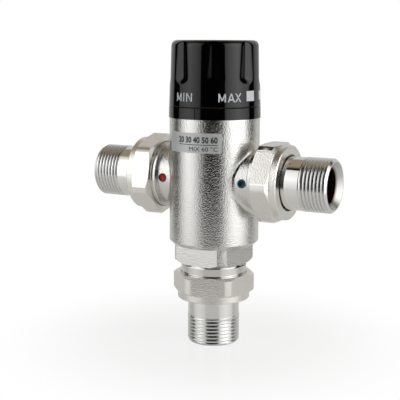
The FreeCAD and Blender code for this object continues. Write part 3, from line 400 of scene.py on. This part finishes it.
def lathe(mesh, points, steps=TURN_STEPS):
    """Spin a closed outline of (radius, height) points about Z."""
    verts = [mesh.verts.new((radius, 0.0, height)) for radius, height in points]
    edges = [mesh.edges.new(pair) for pair in zip(verts, verts[1:] + verts[:1])]
    bmesh.ops.spin(mesh, geom=verts + edges, cent=(0, 0, 0), axis=(0, 0, 1), dvec=(0, 0, 0),
                   angle=2 * math.pi, steps=steps, use_merge=True, use_duplicate=False)


def ring_edges(mesh, height):
    """The open edges of a mesh at one height."""
    return [edge for edge in mesh.edges
            if edge.is_boundary and all(abs(vert.co.z - height) < 1e-6 for vert in edge.verts)]


def draw_in(mesh, edges, radius):
    """Close an open ring with a flat band reaching in to a radius, and give the band's inner edges."""
    made = bmesh.ops.extrude_edge_only(mesh, edges=edges)["geom"]
    for vert in (item for item in made if isinstance(item, bmesh.types.BMVert)):
        scale = radius / math.hypot(vert.co.x, vert.co.y)
        vert.co.x *= scale
        vert.co.y *= scale
    return [item for item in made if isinstance(item, bmesh.types.BMEdge) and item.is_boundary]


def thread_sleeve(radius, inner, low_radius, bevel):
    """A male thread about Z from the tail's end to its neck, fading out at the neck."""
    mesh = bmesh.new()
    turns = math.ceil(THREAD_LENGTH / THREAD_PITCH) + 2
    verts = [mesh.verts.new((radius - THREAD_DEPTH * depth, 0.0, THREAD_PITCH * (share - 1.0)))
             for share, depth in zip(THREAD_SHARES, THREAD_DEPTHS)]
    edges = [mesh.edges.new(pair) for pair in zip(verts, verts[1:])]
    bmesh.ops.spin(mesh, geom=verts + edges, cent=(0, 0, 0), axis=(0, 0, 1),
                   dvec=(0, 0, THREAD_PITCH / TURN_STEPS), angle=2 * math.pi * turns,
                   steps=TURN_STEPS * turns, use_merge=False, use_duplicate=False)
    bmesh.ops.remove_doubles(mesh, verts=mesh.verts, dist=0.003 * MM)
    for height, normal in ((0.0, (0, 0, -1)), (THREAD_LENGTH, (0, 0, 1))):
        everything = mesh.verts[:] + mesh.edges[:] + mesh.faces[:]
        bmesh.ops.bisect_plane(mesh, geom=everything, dist=1e-7, plane_co=(0, 0, height),
                               plane_no=normal, clear_outer=True)
    for vert in mesh.verts:
        reach = math.hypot(vert.co.x, vert.co.y)
        fade = min(1.0, (THREAD_LENGTH - vert.co.z) / THREAD_PITCH)
        wanted = radius - (radius - reach) * fade
        wanted = min(wanted, low_radius + vert.co.z * (radius - low_radius) / bevel)
        vert.co.x *= wanted / reach
        vert.co.y *= wanted / reach
    low_ring = draw_in(mesh, ring_edges(mesh, 0.0), inner)
    high_ring = draw_in(mesh, ring_edges(mesh, THREAD_LENGTH), inner)
    bmesh.ops.bridge_loops(mesh, edges=low_ring + high_ring)
    return mesh


def barrel():
    """A tailpiece standing on its end, plain under its thread."""
    mesh = bmesh.new()
    lathe(mesh, [
        (TAIL_CORE, 0.0),
        (TAIL_CORE, THREAD_LENGTH - 0.2 * MM),
        (TAIL_NECK, THREAD_LENGTH - 0.2 * MM),
        (TAIL_NECK, TAIL_COLLAR_FACE - 0.5 * MM),
        (TAIL_NECK + 0.5 * MM, TAIL_COLLAR_FACE),
        (TAIL_COLLAR, TAIL_COLLAR_FACE),
        (TAIL_COLLAR, TAIL_LENGTH),
        (TAIL_BORE, TAIL_LENGTH),
        (TAIL_BORE, TAIL_MOUTH_DEPTH),
        (TAIL_MOUTH, 0.0),
    ])
    return mesh


def side_place(direction):
    """Where a tail that stands on its end goes to lie in the port at +X or -X."""
    turned = Matrix.Rotation(-direction * math.pi / 2, 4, "Y")
    return Matrix.Translation((direction * TAIL_REACH, 0, PORT_HEIGHT)) @ turned


def make_tails():
    places = {
        "outlet": (Matrix.Identity(4), OUTLET_BARREL),
        "cold": (side_place(1), SIDE_BARREL),
        "hot": (side_place(-1), SIDE_BARREL),
    }
    for port, (place, finish) in places.items():
        plain = barrel()
        bmesh.ops.transform(plain, matrix=place, verts=plain.verts)
        piece = make_piece(f"{port}_barrel", plain, finish, f"{port}_tail", 25)
        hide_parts(f"{port}_tailpiece")
        sleeve = thread_sleeve(TAIL_RADIUS, TAIL_CORE, TAIL_RADIUS - TAIL_BEVEL, TAIL_BEVEL)
        bmesh.ops.transform(sleeve, matrix=place, verts=sleeve.verts)
        make_piece(f"{port}_thread", sleeve, THREADED, f"{port}_tail", 25)


make_tails()


# The knob

KNOB_FOOT_RADIUS = 22.8 * MM
KNOB_TAPER = 1.05 / 32.2
KNOB_ROUNDING = 3.0 * MM
KNOB_FOOT_ROUNDING = 0.4 * MM
KNOB_STEPS = 288
KNOB_ROW = 0.6 * MM
SKIRT_INNER = 20.4 * MM
SKIRT_RISE = 10.4 * MM
SHELL_INNER = 17.4 * MM
KNOB_CEILING = 3.8 * MM
HUB_RADIUS = 8.4 * MM
HUB_GAP = 2.2 * MM
WELL_RADIUS = 5.6 * MM
WELL_WEB = 2.8 * MM
CAP_SEAT_RADIUS = 12.05 * MM
CAP_SEAT_DEPTH = 1.8 * MM
SCREW_HOLE = 2.05 * MM
RIB_THICKNESS = 1.4 * MM
RIB_HEIGHT = 9.0 * MM
FLUTE_COUNT = 8
FLUTE_TURN = math.radians(-65.3)
FLUTE_FLOOR = 20.85 * MM
FLUTE_FLOOR_HALF = 0.3 * MM
FLUTE_WALL = math.tan(math.radians(14.7))
FLUTE_END = 135.4 * MM
FLUTE_END_STRETCH = 2.0
FLUTE_RIM = 0.5 * MM
FLUTE_CORNER = 0.25 * MM


def knob_radius(height):
    """The radius of the knob's tapered side."""
    return KNOB_FOOT_RADIUS - (height - KNOB_LOW.z) * KNOB_TAPER


def soft_low(first, second, blend):
    """The lower of two values, with a rounded change from one to the other."""
    overlap = max(blend - abs(first - second), 0.0) / blend
    return min(first, second) - overlap * overlap * blend / 4


def flute_reach(turn, height):
    """The distance from the axis of the flutes' floor and walls, at a turn from a flute's middle."""
    below = max(0.0, FLUTE_END - height) * FLUTE_END_STRETCH
    reach = FLUTE_FLOOR
    for _ in range(4):
        out = math.hypot(reach * math.sin(turn), below) - FLUTE_FLOOR_HALF
        rise = -soft_low(0.0, -FLUTE_WALL * out, FLUTE_CORNER * FLUTE_WALL)
        reach = (FLUTE_FLOOR + rise) / math.cos(turn)
    return reach


def arc(centre_radius, centre_height, size, start, end, count):
    """Points on a rounding, from one angle to another in degrees."""
    angles = [math.radians(start + (end - start) * step / count) for step in range(count + 1)]
    return [(centre_radius + size * math.cos(angle), centre_height + size * math.sin(angle))
            for angle in angles]


def knob_outline():
    """The knob's section, from the foot of its skirt up its side and down into its hub."""
    foot, top = KNOB_LOW.z, KNOB_HIGH.z
    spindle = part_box("spindle")[1]
    hub_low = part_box("bonnet")[1].z + HUB_GAP
    ceiling = top - KNOB_CEILING
    start = foot + KNOB_FOOT_ROUNDING
    side = [(SKIRT_INNER, foot)]
    side += arc(KNOB_FOOT_RADIUS - KNOB_FOOT_ROUNDING, start, KNOB_FOOT_ROUNDING, -90, 0, 3)
    rounding = top - KNOB_ROUNDING
    rows = round((rounding - start) / KNOB_ROW)
    heights = [start + (rounding - start) * row / rows for row in range(1, rows)]
    side += [(knob_radius(height), height) for height in heights]
    side += arc(knob_radius(rounding) - KNOB_ROUNDING, rounding, KNOB_ROUNDING, 0, 90, 8)
    return side + [
        (CAP_SEAT_RADIUS, top),
        (CAP_SEAT_RADIUS, top - CAP_SEAT_DEPTH),
        (WELL_RADIUS, top - CAP_SEAT_DEPTH),
        (WELL_RADIUS, spindle.z + WELL_WEB),
        (SCREW_HOLE, spindle.z + WELL_WEB),
        (SCREW_HOLE, spindle.z + 0.1 * MM),
        (spindle.x + 0.1 * MM, spindle.z + 0.1 * MM),
        (spindle.x + 0.1 * MM, hub_low),
        (HUB_RADIUS, hub_low),
        (HUB_RADIUS, ceiling),
        (SHELL_INNER, ceiling),
        (SHELL_INNER, foot + SKIRT_RISE),
        (SKIRT_INNER, foot + SKIRT_RISE),
    ]


def on_the_outside(reach, height):
    """Whether a point is on the knob's side or shoulder, and not in its skirt or hub."""
    if reach < SHELL_INNER + MM:
        return False
    return reach > SKIRT_INNER + 0.1 * MM or height >= KNOB_HIGH.z - KNOB_ROUNDING


def press_flutes(mesh):
    """Press the finger flutes into the knob's side."""
    spacing = 2 * math.pi / FLUTE_COUNT
    for vert in mesh.verts:
        reach = math.hypot(vert.co.x, vert.co.y)
        if not on_the_outside(reach, vert.co.z):
            continue
        turn = (math.atan2(vert.co.y, vert.co.x) - FLUTE_TURN + spacing / 2) % spacing - spacing / 2
        scale = soft_low(reach, flute_reach(turn, vert.co.z), FLUTE_RIM) / reach
        vert.co.x *= scale
        vert.co.y *= scale


def make_ribs(mesh):
    """Webs under the knob's roof, from its hub to its side."""
    low = KNOB_HIGH.z - KNOB_CEILING - RIB_HEIGHT
    high = KNOB_HIGH.z - KNOB_CEILING + 0.5 * MM
    length = SHELL_INNER - HUB_RADIUS + MM
    for number in range(FLUTE_COUNT):
        rib = bmesh.ops.create_cube(mesh, size=1.0)["verts"]
        bmesh.ops.scale(mesh, vec=(length, RIB_THICKNESS, high - low), verts=rib)
        bmesh.ops.translate(mesh, vec=((HUB_RADIUS + SHELL_INNER) / 2, 0, (low + high) / 2), verts=rib)
        spin = Matrix.Rotation(FLUTE_TURN + 2 * math.pi * number / FLUTE_COUNT, 4, "Z")
        bmesh.ops.transform(mesh, matrix=spin, verts=rib)


def make_knob():
    mesh = bmesh.new()
    lathe(mesh, knob_outline(), KNOB_STEPS)
    press_flutes(mesh)
    make_ribs(mesh)
    piece = make_piece("knob_shell", mesh, BLACK, "handle", 35)
    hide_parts("knob")


make_knob()


# The check valves' springs


def make_check_spring(side):
    """A check valve's spring, copied from its part as a piece of its own. On the valve it shortens onto
    its cage as the poppet opens; this copy keeps one length.
    """
    node = f"{side}_check_spring"
    mesh = bmesh.new()
    mesh.from_mesh(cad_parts[node].data)
    bmesh.ops.remove_doubles(mesh, verts=mesh.verts, dist=1e-7)
    piece = make_piece(f"{side}_check_coil", mesh, STEEL, "valve", 35)
    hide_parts(node)
    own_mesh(piece)


make_check_spring("cold")
make_check_spring("hot")


# Printing on the knob and the label

PRINT_HEIGHT = 0.06 * MM
PRINT_WEIGHT = 0.62 * MM
LETTER_HEIGHT = 4.15 * MM
LETTER_FOOT = 124.05 * MM
MIN_TURN = -105.0
MAX_TURN = -44.8

SCALE_BLOCKS = 9
SCALE_MIDDLE = 126.7 * MM
SCALE_START = -13.9
SCALE_SPACING = 29.0

LABEL_RADIUS = 22.82 * MM
LABEL_TURN = -92.7
LABEL_PRINT_WIDTH = 21.0 * MM
LABEL_PRINT_ACROSS = 2.6 * MM

# Each letter's place and width
MIN_LETTERS = (("M", -4.5 * MM, 2.8 * MM), ("I", 0.1 * MM, 0.0), ("N", 1.9 * MM, 2.75 * MM))
MAX_LETTERS = (("M", -5.4 * MM, 3.0 * MM), ("A", -0.85 * MM, 3.0 * MM), ("X", 3.0 * MM, 2.6 * MM))

# Each letter's straight strokes, in a square of one by one
STROKES = {
    "M": [((0, 0), (0, 1)), ((0, 1), (0.5, 0.12)), ((1, 1), (0.5, 0.12)), ((1, 0), (1, 1))],
    "I": [((0.5, 0), (0.5, 1))],
    "N": [((0, 0), (0, 1)), ((0, 1), (1, 0)), ((1, 0), (1, 1))],
    "A": [((0, 0), (0.5, 1)), ((1, 0), (0.5, 1)), ((0.25, 0.26), (0.75, 0.26))],
    "X": [((0, 0), (1, 1)), ((0, 1), (1, 0))],
}


def label_radius(_height):
    """The label's face is upright, so its radius is the same at every height."""
    return LABEL_RADIUS


def wrap(mesh, radius_at, turn, low):
    """Bend a flat print, drawn across X and up Y, round the valve's axis."""
    for vert in mesh.verts:
        across, up, out = vert.co
        height = low + up
        radius = radius_at(height) + out
        angle = math.radians(turn) + across / radius_at(height)
        vert.co = (radius * math.cos(angle), radius * math.sin(angle), height)


def stroke(mesh, start, end, weight):
    """One straight stroke, cut off level at its ends."""
    made = bmesh.ops.create_grid(mesh, x_segments=1, y_segments=1, size=0.5)["verts"]
    level = abs(end[1] - start[1]) < 1e-6
    for vert in made:
        along = end if (vert.co.x if level else vert.co.y) > 0 else start
        side = weight / 2 if (vert.co.y if level else vert.co.x) > 0 else -weight / 2
        vert.co.x = along[0] + (0 if level else side)
        vert.co.y = along[1] + (side if level else 0)


def lettering(letters, height, weight):
    """Flat letters of straight strokes, standing on Y = 0."""
    mesh = bmesh.new()
    for letter, left, width in letters:
        for start, end in STROKES[letter]:
            stroke(mesh, (left + start[0] * width, start[1] * height),
                   (left + end[0] * width, end[1] * height), weight)
    return mesh


def slice_across(mesh, step):
    """Cut a flat print into narrow strips, so that it bends smoothly."""
    left = min(vert.co.x for vert in mesh.verts)
    right = max(vert.co.x for vert in mesh.verts)
    place = left + step
    while place < right:
        bmesh.ops.bisect_plane(mesh, geom=mesh.verts[:] + mesh.edges[:] + mesh.faces[:], dist=1e-7,
                               plane_co=(place, 0, 0), plane_no=(1, 0, 0))
        place += step


def raise_print(mesh):
    """Give a flat print its thickness."""
    top = bmesh.ops.extrude_face_region(mesh, geom=mesh.faces[:])
    lifted = [item for item in top["geom"] if isinstance(item, bmesh.types.BMVert)]
    bmesh.ops.translate(mesh, vec=(0, 0, PRINT_HEIGHT), verts=lifted)


def print_on_knob(name, mesh, turn, low):
    """White print, centred at a turn in degrees and standing at a height."""
    bmesh.ops.remove_doubles(mesh, verts=mesh.verts, dist=1e-6)
    slice_across(mesh, 0.5 * MM)
    raise_print(mesh)
    wrap(mesh, knob_radius, turn, low)
    make_piece(name, mesh, WHITE_PRINT, "handle")


def print_on_label(name, mesh, across, low):
    """Dark print, placed across the label from its middle and up from its foot."""
    slice_across(mesh, 0.8 * MM)
    raise_print(mesh)
    turn = LABEL_TURN + math.degrees(across / LABEL_RADIUS)
    wrap(mesh, label_radius, turn, LABEL_FOOT + low)
    make_piece(name, mesh, DARK_PRINT, "valve")


def typed(text, width, height, weight=0.0):
    """Flat type as a bmesh, centred across X and standing on Y = 0."""
    curve = bpy.data.curves.new(text, "FONT")
    curve.body = text
    curve.offset = weight
    curve.resolution_u = 3
    holder = bpy.data.objects.new(text, curve)
    bpy.context.scene.collection.objects.link(holder)
    bpy.context.view_layer.update()
    data = bpy.data.meshes.new_from_object(holder)
    bpy.data.objects.remove(holder)
    mesh = bmesh.new()
    mesh.from_mesh(data)
    across = [vert.co.x for vert in mesh.verts]
    up = [vert.co.y for vert in mesh.verts]
    middle = (min(across) + max(across)) / 2
    bmesh.ops.translate(mesh, vec=(-middle, -min(up), 0), verts=mesh.verts)
    scale = (width / (max(across) - min(across)), height / (max(up) - min(up)), 1)
    bmesh.ops.scale(mesh, vec=scale, verts=mesh.verts)
    return mesh


def block(width, height):
    """A flat oblong as a bmesh, centred across X and standing on Y = 0."""
    mesh = bmesh.new()
    bmesh.ops.create_grid(mesh, x_segments=1, y_segments=1, size=0.5)
    bmesh.ops.scale(mesh, vec=(width, height, 1), verts=mesh.verts)
    bmesh.ops.translate(mesh, vec=(0, height / 2, 0), verts=mesh.verts)
    return mesh


def make_scale():
    """The words at the knob's stops, and between them blocks that shrink as the water gets cooler."""
    lowest = lettering(MIN_LETTERS, LETTER_HEIGHT, PRINT_WEIGHT)
    highest = lettering(MAX_LETTERS, LETTER_HEIGHT, PRINT_WEIGHT)
    print_on_knob("min_print", lowest, MIN_TURN, LETTER_FOOT)
    print_on_knob("max_print", highest, MAX_TURN, LETTER_FOOT)
    for number in range(SCALE_BLOCKS):
        width = (5.7 - 0.5 * number) * MM
        height = (4.9 - 0.42 * number) * MM
        turn = SCALE_START + SCALE_SPACING * number
        print_on_knob(f"scale_block_{number}", block(width, height), turn, SCALE_MIDDLE - height / 2)


def make_label_print():
    """Plain temperature figures over a fine rule, with a small note below them."""
    figures = typed("20 30 40 50 60", LABEL_PRINT_WIDTH, 3.1 * MM, 0.03)
    print_on_label("label_figures", figures, LABEL_PRINT_ACROSS, 4.9 * MM)
    rule = block(LABEL_PRINT_WIDTH, 0.3 * MM)
    print_on_label("label_rule", rule, LABEL_PRINT_ACROSS, 3.9 * MM)
    note = typed("MIX 60 °C", 14.5 * MM, 2.2 * MM)
    print_on_label("label_note", note, 5.9 * MM, 1.0 * MM)


make_scale()
make_label_print()


# Stage

FLOOR_RADIUS = 0.3
FLOOR_COLOR = (0.82, 0.82, 0.81)
FADE_START = 0.03
FADE_END = 0.12
FADE_LOW = 0.8
MIRRORED_FLOOR = 0.3


def floor_white():
    """White board: seen by the camera it fades to plain white away from the valve."""
    material = surface("floor_white", FLOOR_COLOR, 0.3)
    reach = reach_from_axis(material, (0.0, 0.0, 0.0), (1.0, 1.0, 1.0))
    fade = between(material, reach, "Value", FADE_START, FADE_END)
    fade.inputs["To Min"].default_value = FADE_LOW
    fade.interpolation_type = "SMOOTHSTEP"
    path = add_node(material, "ShaderNodeLightPath")
    mirrored = add_node(material, "ShaderNodeMath", operation="MULTIPLY")
    mirrored.inputs[1].default_value = MIRRORED_FLOOR
    join(material, path, "Is Glossy Ray", mirrored, 0)
    looked_at = combine(material, "MAXIMUM", path, mirrored, ("Is Camera Ray", "Value"))
    share = combine(material, "MULTIPLY", looked_at, fade, ("Value", "Result"))
    glow = add_node(material, "ShaderNodeEmission")
    mix = add_node(material, "ShaderNodeMixShader")
    join(material, share, "Value", mix, 0)
    join(material, shader_of(material), 0, mix, 1)
    join(material, glow, 0, mix, 2)
    join(material, mix, 0, material.node_tree.nodes["Material Output"], "Surface")
    return material


def make_floor():
    mesh = bmesh.new()
    bmesh.ops.create_circle(mesh, cap_ends=True, radius=FLOOR_RADIUS, segments=96)
    data = bpy.data.meshes.new("floor")
    mesh.to_mesh(data)
    mesh.free()
    floor = bpy.data.objects.new("floor", data)
    bpy.context.scene.collection.objects.link(floor)
    dress(floor, floor_white())


CAMERA_TURN = 26.536
CAMERA_DISTANCE = 482.289 * MM
CAMERA_HEIGHT = 154.116 * MM
CAMERA_YAW = 0.857
CAMERA_PITCH = 9.537
CAMERA_ROLL = 0.238
CAMERA_LENS = 86.65

SOFTBOX_DISTANCE = 1.0
SOFTBOX_MIDDLE = 0.5
SOFTBOX_HEIGHT = 2.4
EDGE_SHARE = 0.4

# Each softbox's angle from the camera, width and radiance
SOFTBOXES = {
    "left_softbox": (-67.5, 1.23, 1.8),
    "right_softbox": (59.5, 1.37, 2.6),
}

DARK_ROOM = (0.005, 0.005, 0.005, 1.0)
PALE_BACKDROP = (0.62, 0.62, 0.61, 1.0)
WARM_CEILING = (0.3, 0.25, 0.19, 1.0)
PLAIN_WHITE = (1.0, 1.0, 1.0, 1.0)
BACKDROP_TURN = 5.0

# Where each part of the room begins and is at its full strength, as parts of a unit direction
BACKDROP_EDGE = (0.5, 0.57)
CEILING_EDGE = (0.6, 0.75)
CEILING_FRONT = (-0.12, 0.05)


def from_camera(angle, distance, height):
    """A place at an angle to the camera's side of the object, seen from above."""
    turn = math.radians(CAMERA_TURN + angle)
    return Vector((distance * math.sin(turn), -distance * math.cos(turn), height))


def make_camera():
    place = from_camera(0.0, CAMERA_DISTANCE, CAMERA_HEIGHT)
    heading = math.radians(CAMERA_TURN) + math.radians(CAMERA_YAW)
    pitch = math.radians(CAMERA_PITCH)
    level_reach = math.cos(pitch)
    forward = Vector((-math.sin(heading) * level_reach, math.cos(heading) * level_reach, -math.sin(pitch)))
    data = bpy.data.cameras.new("camera")
    data.lens = CAMERA_LENS
    data.sensor_width = 36.0
    data.clip_start = 0.01
    camera = bpy.data.objects.new("camera", data)
    bpy.context.scene.collection.objects.link(camera)
    level = forward.to_track_quat("-Z", "Y").to_matrix().to_4x4()
    roll = Matrix.Rotation(math.radians(CAMERA_ROLL), 4, "Z")
    camera.matrix_world = Matrix.Translation(place) @ level @ roll
    bpy.context.scene.camera = camera


def softbox(name, place, width, height, radiance):
    """A flat light that stands upright and faces the valve's axis."""
    data = bpy.data.lights.new(name, "AREA")
    data.shape = "RECTANGLE"
    data.size = width
    data.size_y = height
    data.energy = radiance * math.pi * width * height
    lamp = bpy.data.objects.new(name, data)
    bpy.context.scene.collection.objects.link(lamp)
    lamp.location = place
    lamp.rotation_mode = "QUATERNION"
    lamp.rotation_quaternion = Vector((-place.x, -place.y, 0.0)).to_track_quat("-Z", "Y")
    lamp.visible_camera = False
    soften(data)


def soften(data):
    """Let a softbox fall off from its middle to its edges."""
    data.use_nodes = True
    tree = data.node_tree
    spot = tree.nodes.new("ShaderNodeNewGeometry")
    parts = tree.nodes.new("ShaderNodeSeparateXYZ")
    tree.links.new(spot.outputs["Parametric"], parts.inputs[0])
    shares = []
    for direction in ("X", "Y"):
        fold = tree.nodes.new("ShaderNodeMath")
        fold.operation = "PINGPONG"
        fold.inputs[1].default_value = 0.5
        tree.links.new(parts.outputs[direction], fold.inputs[0])
        share = tree.nodes.new("ShaderNodeMapRange")
        share.inputs["From Max"].default_value = 0.5
        share.inputs["To Min"].default_value = EDGE_SHARE
        tree.links.new(fold.outputs[0], share.inputs["Value"])
        shares.append(share)
    strength = tree.nodes.new("ShaderNodeMath")
    strength.operation = "MULTIPLY"
    for place, share in enumerate(shares):
        tree.links.new(share.outputs["Result"], strength.inputs[place])
    tree.links.new(strength.outputs[0], tree.nodes["Emission"].inputs["Strength"])


def make_lights():
    for name, (angle, width, radiance) in SOFTBOXES.items():
        place = from_camera(angle, SOFTBOX_DISTANCE, SOFTBOX_MIDDLE)
        softbox(name, place, width, SOFTBOX_HEIGHT, radiance)


def make_world():
    """A white backdrop behind the valve, a warm grey room above it and a dark one in front."""
    world = bpy.data.worlds.new("studio")
    bpy.context.scene.world = world
    world.use_nodes = True
    tree = world.node_tree

    def node(kind, **inputs):
        made = tree.nodes.new(kind)
        for name, value in inputs.items():
            made.inputs[name.replace("_", " ")].default_value = value
        return made

    def link(source, output, target, socket):
        tree.links.new(source.outputs[output], target.inputs[socket])

    def edge(direction, limits):
        """0 before an edge across a direction and 1 past it."""
        made = node("ShaderNodeMapRange", From_Min=limits[0], From_Max=limits[1])
        link(split, direction, made, "Value")
        return made

    def mix(color, other, share, output):
        """One colour, with another laid over it by a share."""
        made = node("ShaderNodeMix")
        made.data_type = "RGBA"
        made.inputs["B"].default_value = other
        link(share, output, made, "Factor")
        if isinstance(color, tuple):
            made.inputs["A"].default_value = color
        else:
            link(color, "Result", made, "A")
        return made

    place = node("ShaderNodeTexCoord")
    turn = node("ShaderNodeVectorRotate", Angle=math.radians(BACKDROP_TURN - CAMERA_TURN))
    turn.rotation_type = "Z_AXIS"
    link(place, "Generated", turn, "Vector")
    split = node("ShaderNodeSeparateXYZ")
    link(turn, "Vector", split, "Vector")
    overhead = node("ShaderNodeMath")
    overhead.operation = "MULTIPLY"
    link(edge("Y", CEILING_FRONT), "Result", overhead, 0)
    link(edge("Z", CEILING_EDGE), "Result", overhead, 1)

    backdrop = mix(DARK_ROOM, PALE_BACKDROP, edge("Y", BACKDROP_EDGE), "Result")
    room = mix(backdrop, WARM_CEILING, overhead, "Value")
    seen = mix(room, PLAIN_WHITE, node("ShaderNodeLightPath"), "Is Camera Ray")
    link(seen, "Result", tree.nodes["Background"], "Color")


make_floor()
make_lights()
make_world()
make_camera()
bpy.context.scene.view_settings.view_transform = "Standard"
